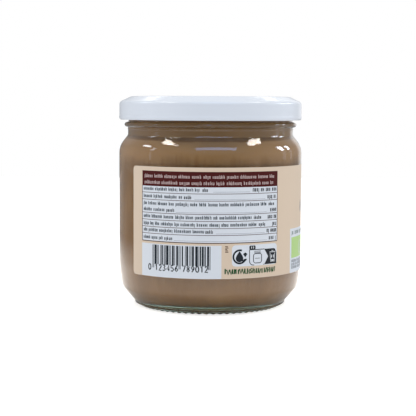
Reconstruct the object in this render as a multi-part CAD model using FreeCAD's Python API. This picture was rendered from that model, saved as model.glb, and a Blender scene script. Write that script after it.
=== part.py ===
import FreeCAD, Part
import math
import os

# A filled glass jar with a pressed steel twist-off lid. Sizes are in millimetres.
# The jar stands on z = 0 with its axis on Z, and -Y is the side where the label begins and runs to the right.
# Sections are drawn in the XZ plane as (radius, height) and turned about Z.

# Glass: overall sizes
jar_height = 97.2           # base to the top of the glass rim
body_diameter = 86.0
wall = 2.4                  # side wall
floor_thickness = 2.8       # glass between the push-up and the cavity

# Glass: foot and heel, heights from the base
push_up = 2.4               # how far the middle of the underside is raised
push_up_run = 2.4           # how far in from the bearing ring it is raised by that much
push_up_dome = 0.4          # of that height, what the middle still gains
push_up_round = 1.6
bearing_width = 1.2         # flat ring that the jar stands on
bearing_inset = 10.3        # body wall to the middle of that ring
foot_inset = 7.3            # body wall to the foot's outer edge
foot_height = 2.3
foot_edge_low = 1.0         # lowest and highest point of the foot's outer edge
foot_edge_high = 1.3
foot_groove = 1.5           # how far the foot tucks in below its edge
foot_round = 0.5
heel_inset = 1.3            # body wall to the corner of the heel
heel_corner_height = 9.1
wall_start_height = 16.6
heel_round = 4.0
heel_blend = 40.0
cavity_heel_round = 11.0    # inside corner between the floor and the wall
small_round = 0.3           # where glass faces meet at a slight angle

# Glass: shoulder and neck, heights down from the rim
shoulder_drop = 22.2        # rim to the corner where the body wall turns in
shoulder_round = 9.0
neck_drop = 17.0            # rim to the foot of the neck
neck_inset = 4.1            # body wall to the neck wall
neck_round = 1.5
cavity_shoulder_drop = 1.6  # inside corners of the shoulder and neck, below the outside ones
cavity_neck_drop = 1.0
cavity_neck_round = 2.5

# Glass: twist-off finish
bead_drop = 12.05           # rim to the middle of the transfer bead
bead_height = 2.6
bead_crest = 0.9            # height of its outermost band
bead_projection = 1.6       # past the neck wall
bead_round = 0.5
finish_step = 0.3           # the finish is this much slimmer than the neck
finish_wall = 2.8           # glass between the finish and the mouth
rim_round = 1.25
thread_count = 6
thread_span = 50.0          # degrees that one thread runs round the finish
thread_fade = 9.0           # degrees over which each end sinks into the wall
thread_end_sink = 0.1       # depth of its very end below the finish wall
thread_top_drop = 4.95      # rim to the middle of the thread at its high end
thread_fall = 2.2           # how far the thread falls over its span
thread_height = 2.4
thread_projection = 2.1     # past the finish wall
thread_root = 0.5           # depth that the thread is rooted in the wall
thread_outline = [          # share of the projection, share of the height from the middle
    (0, -0.5),
    (0.8, -0.46),
    (1, -0.18),
    (1, 0.1),
    (0.55, 0.42),
    (0, 0.5),
]
thread_sections = 11
first_thread_angle = 10.0   # high end of the first thread

# Lid
sheet = 0.25                # steel gauge
lid_thread_clearance = 0.3  # thread crest to the curl
curl_height = 2.0
curl_width = 2.0
curl_proud = 0.1            # the curl stands this far outside the skirt
curl_step = 0.4             # height over which the skirt widens into the curl
curl_gap = 0.3              # skirt to the cut edge of the sheet inside the curl
shortest_line = 0.01        # left between two arcs of the curl
shoulder_width = 5.6        # skirt to the raised ring of the panel
shoulder_fall = 2.6         # raised ring to the corner of the skirt
shoulder_top_round = 3.0
lid_corner_round = 1.6
ring_past_mouth = 1.5       # raised ring of the panel, from the mouth inward
panel_step = 1.3            # raised ring down to the panel
step_run = 0.7
step_round = 0.8
button_radius = 15.0
button_rise = 0.5           # edge of the button above the panel
button_dip = 0.2            # middle of the button below the panel, as a vacuum holds it
button_run = 1.4
button_round = 1.2
skirt_round = 0.4
lid_lug_span = 12.0         # degrees
lid_lug_bite = 0.9          # how far a lug reaches in under its thread
lid_lug_height = 1.5
lid_lug_round = 0.6
lug_clearance = 0.1         # thread underside to the lug
lug_seat_share = 0.6        # where along the thread the middle of the lug stops

# Seal, filling and label
seal_thickness = 0.85       # rim to the underside of the lid
seal_overhang = 0.7         # past the rim, on the mouth side
seal_inset = 0.5            # short of the finish wall, on the outside
seal_inner_round = 0.2
seal_outer_round = 0.1
head_space = 8.4            # rim to the top of the filling
fill_clearance = 0.15
meniscus = 0.8              # rise of the filling at the glass
meniscus_run = 1.6
label_thickness = 0.12
glue_line = 0.05
label_start_angle = -53.9   # degrees round from -Y, to the right
label_span = 320.9
label_margin_bottom = 0.9   # above the start of the straight wall
label_margin_top = 8.1      # below the shoulder's corner
label_corner_round = 1.8
cutter_reach = 2.0          # how far a cutting shape runs past what it cuts

# Radii and heights that follow from the sizes above
body_radius = body_diameter / 2
neck_radius = body_radius - neck_inset
finish_radius = neck_radius - finish_step
mouth_radius = finish_radius - finish_wall
thread_radius = finish_radius + thread_projection
cavity_radius = body_radius - wall
floor_height = push_up + floor_thickness
shoulder_height = jar_height - shoulder_drop
neck_height = jar_height - neck_drop
bead_middle = jar_height - bead_drop
curl_inner_radius = thread_radius + lid_thread_clearance
curl_outer_radius = curl_inner_radius + curl_width
skirt_radius = curl_outer_radius - curl_proud
lid_top = jar_height + seal_thickness + sheet
lug_end_share = lug_seat_share + lid_lug_span / 2 / thread_span
seat_height = jar_height - thread_top_drop - thread_fall * lug_end_share - thread_height / 2
lid_bottom = seat_height - lug_clearance - curl_height


def point(radius, height):
    return FreeCAD.Vector(radius, 0, height)


def rounded_edges(corners):
    """Lines and tangent arcs through closed (radius, height, rounding) corners."""
    spans = []
    for i, (radius, height, rounding) in enumerate(corners):
        here = point(radius, height)
        if not rounding:
            spans.append((here, None, here))
            continue
        back = (point(*corners[i - 1][:2]) - here).normalize()
        ahead = (point(*corners[(i + 1) % len(corners)][:2]) - here).normalize()
        half = back.getAngle(ahead) / 2
        middle = (back + ahead).normalize()
        reach = rounding / math.tan(half)
        top = here + middle * (rounding / math.sin(half) - rounding)
        spans.append((here + back * reach, top, here + ahead * reach))
    edges = []
    for i, (start, top, end) in enumerate(spans):
        before = spans[i - 1][2]
        if before.distanceToPoint(start) > 1e-6:
            edges.append(Part.LineSegment(before, start).toShape())
        if top is not None:
            edges.append(Part.Arc(start, top, end).toShape())
    return edges


def turned(corners, angle=360.0):
    """Solid made by turning a closed section about Z."""
    wire = Part.Wire(Part.__sortEdges__(rounded_edges(corners)))
    return Part.Face(wire).revolve(FreeCAD.Vector(), FreeCAD.Vector(0, 0, 1), angle)


def turn_to(shape, angle):
    shape.rotate(FreeCAD.Vector(), FreeCAD.Vector(0, 0, 1), angle)
    return shape


def offset_corners(corners, distance):
    """Open run of corners moved to the right of its direction, with roundings that stay concentric."""
    lines = []
    for (r0, z0, _), (r1, z1, _) in zip(corners, corners[1:]):
        along = (point(r1, z1) - point(r0, z0)).normalize()
        side = FreeCAD.Vector(along.z, 0, -along.x) * distance
        lines.append((point(r0, z0) + side, along))
    moved = []
    for i, (radius, height, rounding) in enumerate(corners):
        if i == 0:
            place = lines[0][0]
        elif i == len(corners) - 1:
            last = lines[-1]
            length = (point(radius, height) - point(*corners[-2][:2])).Length
            place = last[0] + last[1] * length
        else:
            (start, along), (other, onward) = lines[i - 1], lines[i]
            cross = along.x * onward.z - along.z * onward.x
            gap = other - start
            place = start + along * ((gap.x * onward.z - gap.z * onward.x) / cross)
            turns_right = cross < 0
            rounding = rounding + (-distance if turns_right else distance)
        moved.append((place.x, place.z, max(rounding, 0)))
    return moved


def cavity_side(gap=0.0):
    """Side of the space inside the glass from the mouth down to the floor, set in by gap."""
    return [
        (mouth_radius - gap, neck_height - cavity_neck_drop, cavity_neck_round),
        (cavity_radius - gap, shoulder_height - cavity_shoulder_drop, shoulder_round - wall),
        (cavity_radius - gap, floor_height + gap, cavity_heel_round - gap),
    ]


def thread_wire(share):
    """Section of a thread, at a share of the way along it from its high end."""
    fade = min(share, 1 - share) * thread_span / thread_fade
    swell = math.sin(min(fade, 1.0) * math.pi / 2)
    root = finish_radius - thread_root
    crest = finish_radius + thread_projection * swell - thread_end_sink * (1 - swell)
    middle = jar_height - thread_top_drop - thread_fall * share
    corners = [point(root + (crest - root) * out, middle + thread_height * up) for out, up in thread_outline]
    wire = Part.makePolygon(corners + corners[:1])
    return turn_to(wire, first_thread_angle + thread_span * share)


def make_thread():
    """One of the raised threads of the finish; it falls as it runs towards larger angles."""
    wires = [thread_wire(i / (thread_sections - 1)) for i in range(thread_sections)]
    return Part.makeLoft(wires, True, False)


def make_jar():
    """Glass jar: foot, heel, straight wall, shoulder, neck, transfer bead and threaded finish."""
    foot_radius = body_radius - foot_inset
    bearing_radius = body_radius - bearing_inset
    bead_half = bead_height / 2
    outside = [
        (0, push_up, 0),
        (bearing_radius - bearing_width / 2 - push_up_run, push_up - push_up_dome, push_up_round),
        (bearing_radius - bearing_width / 2, 0, foot_round),
        (bearing_radius + bearing_width / 2, 0, small_round),
        (foot_radius - foot_groove, foot_edge_low, small_round),
        (foot_radius, foot_edge_high, small_round),
        (foot_radius, foot_height, foot_round),
        (body_radius - heel_inset, heel_corner_height, heel_round),
        (body_radius, wall_start_height, heel_blend),
        (body_radius, shoulder_height, shoulder_round),
        (neck_radius, neck_height, neck_round),
        (neck_radius, bead_middle - bead_half, small_round),
        (neck_radius + bead_projection, bead_middle - bead_crest / 2, bead_round),
        (neck_radius + bead_projection, bead_middle + bead_crest / 2, bead_round),
        (finish_radius, bead_middle + bead_half, small_round),
        (finish_radius, jar_height, rim_round),
        (mouth_radius, jar_height, rim_round),
    ]
    jar = turned(outside + cavity_side() + [(0, floor_height, 0)])
    for i in range(thread_count):
        jar = jar.fuse(turn_to(make_thread(), i * 360.0 / thread_count))
    return jar.removeSplitter()


def lid_outside():
    """Outer face of the lid from its middle to the cut edge of the curl."""
    ring_outer = skirt_radius - shoulder_width
    ring_inner = mouth_radius - ring_past_mouth
    panel_height = lid_top - panel_step
    curl_top = lid_bottom + curl_height
    curl_round = curl_width / 2 - shortest_line
    return [
        (0, panel_height - button_dip, 0),
        (button_radius, panel_height + button_rise, button_round),
        (button_radius + button_run, panel_height, button_round),
        (ring_inner - step_run, panel_height, step_round),
        (ring_inner, lid_top, step_round),
        (ring_outer, lid_top, shoulder_top_round),
        (skirt_radius, lid_top - shoulder_fall, lid_corner_round),
        (skirt_radius, curl_top, skirt_round),
        (curl_outer_radius, curl_top - curl_step, skirt_round),
        (curl_outer_radius, lid_bottom, curl_round),
        (curl_inner_radius, lid_bottom, curl_round),
        (curl_inner_radius, curl_top, curl_round),
        (skirt_radius - sheet - curl_gap, curl_top, 0),
    ]


def make_lid_lug():
    """Part of the curl pressed in under a thread."""
    crest = thread_radius - lid_lug_bite
    top = lid_bottom + curl_height
    section = [
        (curl_inner_radius + curl_width / 2, top, 0),
        (curl_inner_radius + curl_width / 2, top - curl_height + sheet, 0),
        (crest, top - lid_lug_height, lid_lug_round),
        (crest, top, lid_lug_round),
    ]
    return turn_to(turned(section, lid_lug_span), -lid_lug_span / 2)


def make_lid():
    """Twist-off lid of one pressed sheet, with a curled edge and a lug under each thread."""
    outside = lid_outside()
    inside = offset_corners(outside, sheet)
    lid = turned(outside + inside[::-1])
    seat_angle = first_thread_angle + thread_span * lug_seat_share
    for i in range(thread_count):
        lid = lid.fuse(turn_to(make_lid_lug(), seat_angle + i * 360.0 / thread_count))
    return lid.removeSplitter()


def make_seal():
    """Ring of sealing compound in the lid, pressed down on the rim."""
    under_ring, under_corner = offset_corners(lid_outside(), sheet)[5:7]
    inner = mouth_radius - seal_overhang
    outer = finish_radius - seal_inset
    share = (outer - under_ring[0]) / (under_corner[0] - under_ring[0])
    outer_top = under_ring[1] + (under_corner[1] - under_ring[1]) * share
    return turned([
        (inner, jar_height, seal_inner_round),
        (outer, jar_height, seal_outer_round),
        (outer, outer_top, 0),
        under_ring,
        (inner, under_ring[1], seal_inner_round),
    ])


def make_filling():
    """Filling, level at the top with a slight rise where it meets the glass."""
    top = jar_height - head_space
    side = cavity_side(fill_clearance)
    floor = floor_height + fill_clearance
    level = mouth_radius - fill_clearance
    return turned([
        (0, top, 0),
        (level - meniscus_run, top, meniscus_run),
        (level, top + meniscus, 0),
    ] + side + [(0, floor, 0)])


def make_label():
    """Paper label with rounded corners, wrapped round the straight wall and open at the back left."""
    low = wall_start_height + label_margin_bottom
    high = shoulder_height - label_margin_top
    inner = body_radius + glue_line
    outer = inner + label_thickness
    band = turned([(inner, low, 0), (outer, low, 0), (outer, high, 0), (inner, high, 0)], label_span)
    corner = label_corner_round
    for end, inward in ((0.0, 1), (label_span, -1)):
        for height, up in ((low, 1), (high, -1)):
            band = band.cut(corner_tool(end, inward, height, up, corner))
    return turn_to(band, label_start_angle - 90.0)


def corner_tool(angle, inward, height, up, corner):
    """Bar across the wall, shaped like what a rounding takes off one corner of the label."""
    start = body_radius - cutter_reach
    length = cutter_reach * 2
    side = corner + cutter_reach
    centre = FreeCAD.Vector(start, inward * corner, height + up * corner)
    box_low = FreeCAD.Vector(start, min(-inward * cutter_reach, inward * corner),
                             height + min(-up * cutter_reach, up * corner))
    box = Part.makeBox(length, side, side, box_low)
    round_bar = Part.makeCylinder(corner, length, centre, FreeCAD.Vector(1, 0, 0))
    return turn_to(box.cut(round_bar), angle)


os.makedirs("parts", exist_ok=True)
for node, shape in (
    ("glass_jar", make_jar()),
    ("lid", make_lid()),
    ("lid_seal", make_seal()),
    ("tahini", make_filling()),
    ("label", make_label()),
):
    shape.exportStep("parts/" + node + ".step")
    print(node, shape.ShapeType, len(shape.Solids), shape.isValid(), round(shape.Volume / 1000, 2), "cm3")
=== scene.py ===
import math
import random

import bmesh
import bpy
from mathutils import Matrix, Vector


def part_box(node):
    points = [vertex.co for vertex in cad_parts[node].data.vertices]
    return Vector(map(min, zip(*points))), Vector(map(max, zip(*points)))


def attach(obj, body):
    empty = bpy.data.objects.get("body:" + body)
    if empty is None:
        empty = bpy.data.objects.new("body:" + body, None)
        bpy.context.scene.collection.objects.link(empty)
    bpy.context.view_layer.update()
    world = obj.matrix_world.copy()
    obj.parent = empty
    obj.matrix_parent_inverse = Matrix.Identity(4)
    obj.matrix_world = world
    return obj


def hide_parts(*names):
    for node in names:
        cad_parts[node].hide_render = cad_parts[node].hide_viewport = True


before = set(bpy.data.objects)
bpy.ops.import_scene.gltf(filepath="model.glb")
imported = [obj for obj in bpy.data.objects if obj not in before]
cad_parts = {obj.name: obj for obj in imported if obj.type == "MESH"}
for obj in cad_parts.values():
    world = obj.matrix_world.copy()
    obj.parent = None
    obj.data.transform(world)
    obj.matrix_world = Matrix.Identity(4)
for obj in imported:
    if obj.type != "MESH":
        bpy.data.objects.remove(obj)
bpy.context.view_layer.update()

mm = 0.001
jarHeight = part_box("glass_jar")[1].z / mm
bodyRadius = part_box("glass_jar")[1].x / mm
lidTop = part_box("lid")[1].z / mm
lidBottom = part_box("lid")[0].z / mm
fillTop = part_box("tahini")[1].z / mm
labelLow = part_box("label")[0].z / mm
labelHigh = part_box("label")[1].z / mm
print("frame loaded: body radius %.2f mm, jar height %.2f mm" % (bodyRadius, jarHeight))


# Sections are lists of (radius, height) in mm, from the axis round to the axis again.

def roundSection(corners, turn=math.radians(9)):
    # corners are (radius, height, rounding); each rounding becomes an arc of short lines
    points = []
    for i, (r, z, rounding) in enumerate(corners):
        here = Vector((r, z))
        if not rounding:
            points.append(here)
            continue
        back = (Vector(corners[i - 1][:2]) - here).normalized()
        ahead = (Vector(corners[(i + 1) % len(corners)][:2]) - here).normalized()
        half = back.angle(ahead) / 2
        centre = here + (back + ahead).normalized() * (rounding / math.sin(half))
        first = here + back * (rounding / math.tan(half)) - centre
        last = here + ahead * (rounding / math.tan(half)) - centre
        sweep = first.angle_signed(last)
        steps = max(2, math.ceil(abs(sweep) / turn))
        for k in range(steps + 1):
            points.append(centre + Matrix.Rotation(-sweep * k / steps, 2) @ first)
    return points


def divideSection(points, longest, within=None):
    # adds points to lines that are longer than the given length
    result = [points[0]]
    for a, b in zip(points, points[1:]):
        length = (b - a).length
        inside = within is None or within(a, b)
        steps = max(1, math.ceil(length / longest)) if inside else 1
        for k in range(1, steps + 1):
            result.append(a.lerp(b, k / steps))
    return result


def thickenSection(points, thickness):
    # the same run again, moved to the right of its direction
    moved = []
    for i, p in enumerate(points):
        along = points[min(i + 1, len(points) - 1)] - points[max(i - 1, 0)]
        side = Vector((along.y, -along.x)).normalized()
        moved.append(p + side * thickness)
    moved[0].x = points[0].x
    return moved


def newPiece(name, verts, faces, material, nodes=(), smooth=True):
    mesh = bpy.data.meshes.new(name)
    mesh.from_pydata([Vector(v) * mm for v in verts], [], faces)
    solid = bmesh.new()
    solid.from_mesh(mesh)
    bmesh.ops.recalc_face_normals(solid, faces=solid.faces)
    solid.to_mesh(mesh)
    solid.free()
    mesh.polygons.foreach_set("use_smooth", [smooth] * len(mesh.polygons))
    mesh.materials.append(material)
    piece = bpy.data.objects.new(name, mesh)
    bpy.context.scene.collection.objects.link(piece)
    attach(piece, "root")
    for node in nodes:
        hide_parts(node)
    return piece


def turnedPiece(name, section, segments, material, nodes=(), shape=None):
    # turns a section about Z; shape(angle, point, index) may move a point; angles run from +X towards +Y
    verts = []
    rows = []
    for i, p in enumerate(section):
        if p.x < 1e-6:
            rows.append([len(verts)] * segments)
            verts.append((0, 0, p.y))
            continue
        rows.append(list(range(len(verts), len(verts) + segments)))
        for k in range(segments):
            angle = 2 * math.pi * k / segments
            r, z = shape(angle, p, i) if shape else p
            verts.append((r * math.cos(angle), r * math.sin(angle), z))
    faces = []
    for low, high in zip(rows, rows[1:]):
        for k in range(segments):
            n = (k + 1) % segments
            corners = [low[k], low[n], high[n], high[k]]
            faces.append(list(dict.fromkeys(corners)))
    return newPiece(name, verts, faces, material, nodes)


# Shader node groups that more than one material uses

def newGroup(name, inputs, outputs):
    group = bpy.data.node_groups.new(name, "ShaderNodeTree")
    for label, kind, value in inputs:
        socket = group.interface.new_socket(name=label, in_out="INPUT", socket_type="NodeSocket" + kind)
        socket.default_value = value
    for label, kind in outputs:
        group.interface.new_socket(name=label, in_out="OUTPUT", socket_type="NodeSocket" + kind)
    return group, group.nodes.new("NodeGroupInput"), group.nodes.new("NodeGroupOutput")


def feed(links, socket, value):
    # links another node's output, or sets a plain value
    if isinstance(value, bpy.types.NodeSocket):
        links.new(value, socket)
    else:
        socket.default_value = value


def mixColour(nodes, links, factor, first, second, blend="MIX"):
    mix = nodes.new("ShaderNodeMix")
    mix.data_type = "RGBA"
    mix.blend_type = blend
    for label, value in (("Factor", factor), ("A", first), ("B", second)):
        feed(links, mix.inputs[label], value)
    return mix.outputs["Result"]


def mathNode(nodes, links, operation, first, second=0.0, third=0.0):
    node = nodes.new("ShaderNodeMath")
    node.operation = operation
    for socket, value in zip(node.inputs, (first, second, third)):
        feed(links, socket, value)
    return node.outputs["Value"]


def stretchedNoise(nodes, links, scale, stretch, detail=3.0):
    # noise in metres of the object, drawn out along Z by stretch
    place = nodes.new("ShaderNodeTexCoord").outputs["Object"]
    mapping = nodes.new("ShaderNodeMapping")
    mapping.inputs["Scale"].default_value = (1, 1, 1 / stretch)
    links.new(place, mapping.inputs["Vector"])
    noise = nodes.new("ShaderNodeTexNoise")
    noise.inputs["Detail"].default_value = detail
    links.new(mapping.outputs["Vector"], noise.inputs["Vector"])
    feed(links, noise.inputs["Scale"], scale)
    return noise.outputs["Fac"]


def makePrintedPaperGroup():
    # paper fibres and slight unevenness of ink, on one flat colour
    group, start, end = newGroup(
        "printedPaper",
        [("Colour", "Color", (0.8, 0.8, 0.8, 1)), ("Unevenness", "Float", 0.05), ("Gloss", "Float", 0.4)],
        [("Colour", "Color"), ("Roughness", "Float"), ("Height", "Float")])
    nodes, links = group.nodes, group.links
    clouds = stretchedNoise(nodes, links, 60.0, 1.0)
    fibres = stretchedNoise(nodes, links, 2600.0, 0.35, 2.0)
    both = mathNode(nodes, links, "MULTIPLY", clouds, 0.5)
    both = mathNode(nodes, links, "MULTIPLY_ADD", fibres, 0.5, both)
    centred = mathNode(nodes, links, "SUBTRACT", both, 0.5)
    shift = mathNode(nodes, links, "MULTIPLY_ADD", centred, start.outputs["Unevenness"], 1.0)
    links.new(mixColour(nodes, links, 1.0, start.outputs["Colour"], shift, "MULTIPLY"), end.inputs["Colour"])
    rough = mathNode(nodes, links, "MULTIPLY_ADD", centred, 0.25, start.outputs["Gloss"])
    links.new(rough, end.inputs["Roughness"])
    links.new(fibres, end.inputs["Height"])
    return group


def makeCoatRippleGroup():
    # the fine ripple of a stoved or fire-polished surface
    group, start, end = newGroup(
        "coatRipple",
        [("Scale", "Float", 400.0), ("Drift", "Float", 40.0)],
        [("Height", "Float"), ("Drift", "Float")])
    nodes, links = group.nodes, group.links
    links.new(stretchedNoise(nodes, links, start.outputs["Scale"], 1.0, 1.0), end.inputs["Height"])
    links.new(stretchedNoise(nodes, links, start.outputs["Drift"], 2.0, 2.0), end.inputs["Drift"])
    return group


def newMaterial(name, settings):
    material = bpy.data.materials.new(name)
    material.use_nodes = True
    nodes, links = material.node_tree.nodes, material.node_tree.links
    shader = nodes["Principled BSDF"]
    for socket, value in settings.items():
        shader.inputs[socket].default_value = value
    return material, nodes, links, shader


def bumpInto(nodes, links, shader, height, distance, strength):
    # distance is the depth in metres
    bump = nodes.new("ShaderNodeBump")
    bump.inputs["Distance"].default_value = distance
    bump.inputs["Strength"].default_value = strength
    links.new(height, bump.inputs["Height"])
    links.new(bump.outputs["Normal"], shader.inputs["Normal"])


def useGroup(nodes, group, values):
    node = nodes.new("ShaderNodeGroup")
    node.node_tree = group
    for label, value in values.items():
        node.inputs[label].default_value = value
    return node.outputs


printedPaper = makePrintedPaperGroup()
coatRipple = makeCoatRippleGroup()


# Glass jar

glass = {
    # shape in mm; heights are from the table, drops from the rim, insets from the body's radius
    "pushUp": 2.4, "pushUpRun": 2.4, "pushUpFall": 0.4, "pushUpRound": 1.6,
    "bearingRadius": 32.7, "bearingWidth": 1.2, "bearingZone": (30, 36), "fineRound": 0.3, "footRound": 0.5,
    "footRadius": 35.7, "footLow": 1.0, "footLip": 1.3, "footHeight": 2.3, "footGroove": 1.5,
    "heelInset": 1.3, "heelHeight": 9.1, "heelRound": 4.0, "wallStart": 16.6, "wallRound": 40.0,
    "wall": 2.4, "floor": 2.8, "cavityRound": 11.0,
    # how far the inside of the neck and shoulder is below the outside
    "neckInside": 1.0, "neckInsideRound": 2.5, "shoulderInside": 1.6,
    "shoulderDrop": 22.2, "shoulderRound": 9.0, "neckDrop": 17.0, "neckInset": 4.1, "neckRound": 2.2,
    "beadDrop": 12.05, "beadProjection": 1.6, "beadRound": 0.95,
    "beadHalfFace": 0.75, "beadHalfFoot": 1.3,
    # the parting line of the neck's mould
    "partingDrop": 2.0, "partingWidth": 0.7, "partingRound": 0.15, "partingCrestRound": 0.12,
    "finishStep": 0.3, "finishWall": 2.8, "rimRound": 1.25,
    "threads": 6, "threadSpan": 50.0, "threadStart": 10.0, "threadDrop": 4.95, "threadFall": 2.2,
    "threadHeight": 2.4, "threadProjection": 2.1, "threadRoot": 0.5, "threadFade": 9.0,
    "threadOutline": [(-0.5, 0), (-0.46, 0.8), (-0.18, 1), (0.1, 1), (0.42, 0.55), (0.5, 0)],
    "knurls": 66, "knurlDepth": 0.5, "knurlReach": 1.6, "segmentsPerKnurl": 5,
    "seamAngles": (-83.0, 97.0), "seamHeight": 0.05, "seamWidth": 0.35,
    "waviness": 0.035, "wavesAboveShoulder": 8.0,
    "lineLength": 2.0, "finishLineLength": 0.27, "bearingLineLength": 0.4,
    "tint": (0.955, 0.985, 0.965, 1), "shadowTint": (0.93, 0.95, 0.94, 1),
    "thickTint": (0.46, 0.72, 0.64, 1), "thickDensity": 22.0,
    "rippleDepth": 0.0006, "rippleStrength": 0.35,
}
neckRadius = bodyRadius - glass["neckInset"]
finishRadius = neckRadius - glass["finishStep"]
mouthRadius = finishRadius - glass["finishWall"]
shoulderHeight = jarHeight - glass["shoulderDrop"]
neckHeight = jarHeight - glass["neckDrop"]
beadMiddle = jarHeight - glass["beadDrop"]
floorHeight = glass["pushUp"] + glass["floor"]


def cavityCorners(grown=0.0):
    # from the mouth to the middle of the floor
    inner = bodyRadius - glass["wall"]
    return [
        (mouthRadius + grown, neckHeight - glass["neckInside"], glass["neckInsideRound"]),
        (inner + grown, shoulderHeight - glass["shoulderInside"], glass["shoulderRound"] - glass["wall"]),
        (inner + grown, floorHeight - grown, glass["cavityRound"]),
        (0, floorHeight - grown, 0),
    ]


def onFinish(r, z):
    return r > finishRadius - 0.05 and z > beadMiddle + glass["beadHalfFoot"]


def onFinishLine(a, b):
    return onFinish(min(a.x, b.x), min(a.y, b.y))


def onBearingLine(a, b):
    start, end = glass["bearingZone"]
    return max(a.y, b.y) < glass["footLip"] and a.x > start and b.x < end


def glassSection():
    g = glass
    bearing, half, fine = g["bearingRadius"], g["bearingWidth"] / 2, g["fineRound"]
    beadRadius = neckRadius + g["beadProjection"]
    parting, partingHeight = g["partingWidth"] / 2, beadMiddle - g["partingDrop"]
    outside = [
        (0, g["pushUp"], 0),
        (bearing - half - g["pushUpRun"], g["pushUp"] - g["pushUpFall"], g["pushUpRound"]),
        (bearing - half, 0, g["footRound"]),
        (bearing + half, 0, fine),
        (g["footRadius"] - g["footGroove"], g["footLow"], fine),
        (g["footRadius"], g["footLip"], fine),
        (g["footRadius"], g["footHeight"], g["footRound"]),
        (bodyRadius - g["heelInset"], g["heelHeight"], g["heelRound"]),
        (bodyRadius, g["wallStart"], g["wallRound"]),
        (bodyRadius, shoulderHeight, g["shoulderRound"]),
        (neckRadius, neckHeight, g["neckRound"]),
        (neckRadius, partingHeight - parting, g["partingRound"]),
        (neckRadius + parting / 2, partingHeight, g["partingCrestRound"]),
        (neckRadius, partingHeight + parting, g["partingRound"]),
        (neckRadius, beadMiddle - g["beadHalfFoot"], fine),
        (beadRadius, beadMiddle - g["beadHalfFace"], g["beadRound"]),
        (beadRadius, beadMiddle + g["beadHalfFace"], g["beadRound"]),
        (finishRadius, beadMiddle + g["beadHalfFoot"], fine),
        (finishRadius, jarHeight, g["rimRound"]),
        (mouthRadius, jarHeight, g["rimRound"]),
    ]
    points = divideSection(roundSection(outside + cavityCorners()), g["lineLength"])
    points = divideSection(points, g["finishLineLength"], onFinishLine)
    return divideSection(points, g["bearingLineLength"], onBearingLine)


def interpolate(value, table):
    for (x0, y0), (x1, y1) in zip(table, table[1:]):
        if x0 <= value <= x1:
            return y0 + (y1 - y0) * (value - x0) / (x1 - x0)
    return 0.0


def threadRadius(angle, height):
    # radius of the thread's surface at this place, or 0 where there is none
    pitch = 360.0 / glass["threads"]
    share = ((math.degrees(angle) - glass["threadStart"]) % pitch) / glass["threadSpan"]
    if share > 1:
        return 0.0
    middle = jarHeight - glass["threadDrop"] - glass["threadFall"] * share
    outline = interpolate((height - middle) / glass["threadHeight"], glass["threadOutline"])
    fromEnd = min(share, 1 - share) * glass["threadSpan"] / glass["threadFade"]
    swell = math.sin(min(fromEnd, 1.0) * math.pi / 2)
    root = finishRadius - glass["threadRoot"]
    return root + (finishRadius + glass["threadProjection"] * swell - root) * outline


def shapeGlass(angle, point, index):
    r, z = point
    outer = index < outerCount
    if outer and onFinish(r, z):
        return max(r, threadRadius(angle, z)), z
    if outer and glass["footHeight"] < z < shoulderHeight + glass["wavesAboveShoulder"]:
        # crossing waves, whose sum is at most 2.2
        sway = math.sin(3 * angle + 0.08 * z) + 0.7 * math.sin(7 * angle - 0.21 * z + 1.0)
        sway += 0.5 * math.sin(0.55 * z + 2 * angle)
        r -= glass["waviness"] * (sway + 2.2) / 4.4
    if outer and glass["footHeight"] < z < beadMiddle + 1.0:
        for seam in glass["seamAngles"]:
            offset = (math.degrees(angle) - seam + 180) % 360 - 180
            r += glass["seamHeight"] * math.exp(-(math.radians(offset) * r / glass["seamWidth"]) ** 2)
    fromBearing = abs(r - glass["bearingRadius"]) / glass["knurlReach"]
    if z < glass["footLow"] and fromBearing < 1:
        wave = 0.5 - 0.5 * math.cos(angle * glass["knurls"])
        z += glass["knurlDepth"] * wave * (1 - fromBearing ** 2) * (1 - z)
    return r, z


def makeGlassMaterial():
    material, nodes, links, shader = newMaterial("jarGlass", {
        "Base Color": glass["tint"], "Roughness": 0.0, "Metallic": 0.0,
        "IOR": 1.52, "Transmission Weight": 1.0})
    ripple = useGroup(nodes, coatRipple, {"Scale": 130.0, "Drift": 45.0})
    bumpInto(nodes, links, shader, ripple["Drift"], glass["rippleDepth"], glass["rippleStrength"])
    # shadow rays pass, so that light reaches what is inside
    light = nodes.new("ShaderNodeLightPath")
    clear = nodes.new("ShaderNodeBsdfTransparent")
    clear.inputs["Color"].default_value = glass["shadowTint"]
    mix = nodes.new("ShaderNodeMixShader")
    links.new(light.outputs["Is Shadow Ray"], mix.inputs["Fac"])
    links.new(shader.outputs["BSDF"], mix.inputs[1])
    links.new(clear.outputs["BSDF"], mix.inputs[2])
    links.new(mix.outputs["Shader"], nodes["Material Output"].inputs["Surface"])
    thick = nodes.new("ShaderNodeVolumeAbsorption")
    thick.inputs["Color"].default_value = glass["thickTint"]
    thick.inputs["Density"].default_value = glass["thickDensity"]
    links.new(thick.outputs["Volume"], nodes["Material Output"].inputs["Volume"])
    return material


jarSection = glassSection()
outerCount = max(i for i, p in enumerate(jarSection) if p.y > jarHeight - 0.01)
turnedPiece("jarGlass", jarSection, glass["knurls"] * glass["segmentsPerKnurl"],
            makeGlassMaterial(), ["glass_jar"], shapeGlass)
print("glass jar made: %d points in its section" % len(jarSection))


# Tahini

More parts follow.
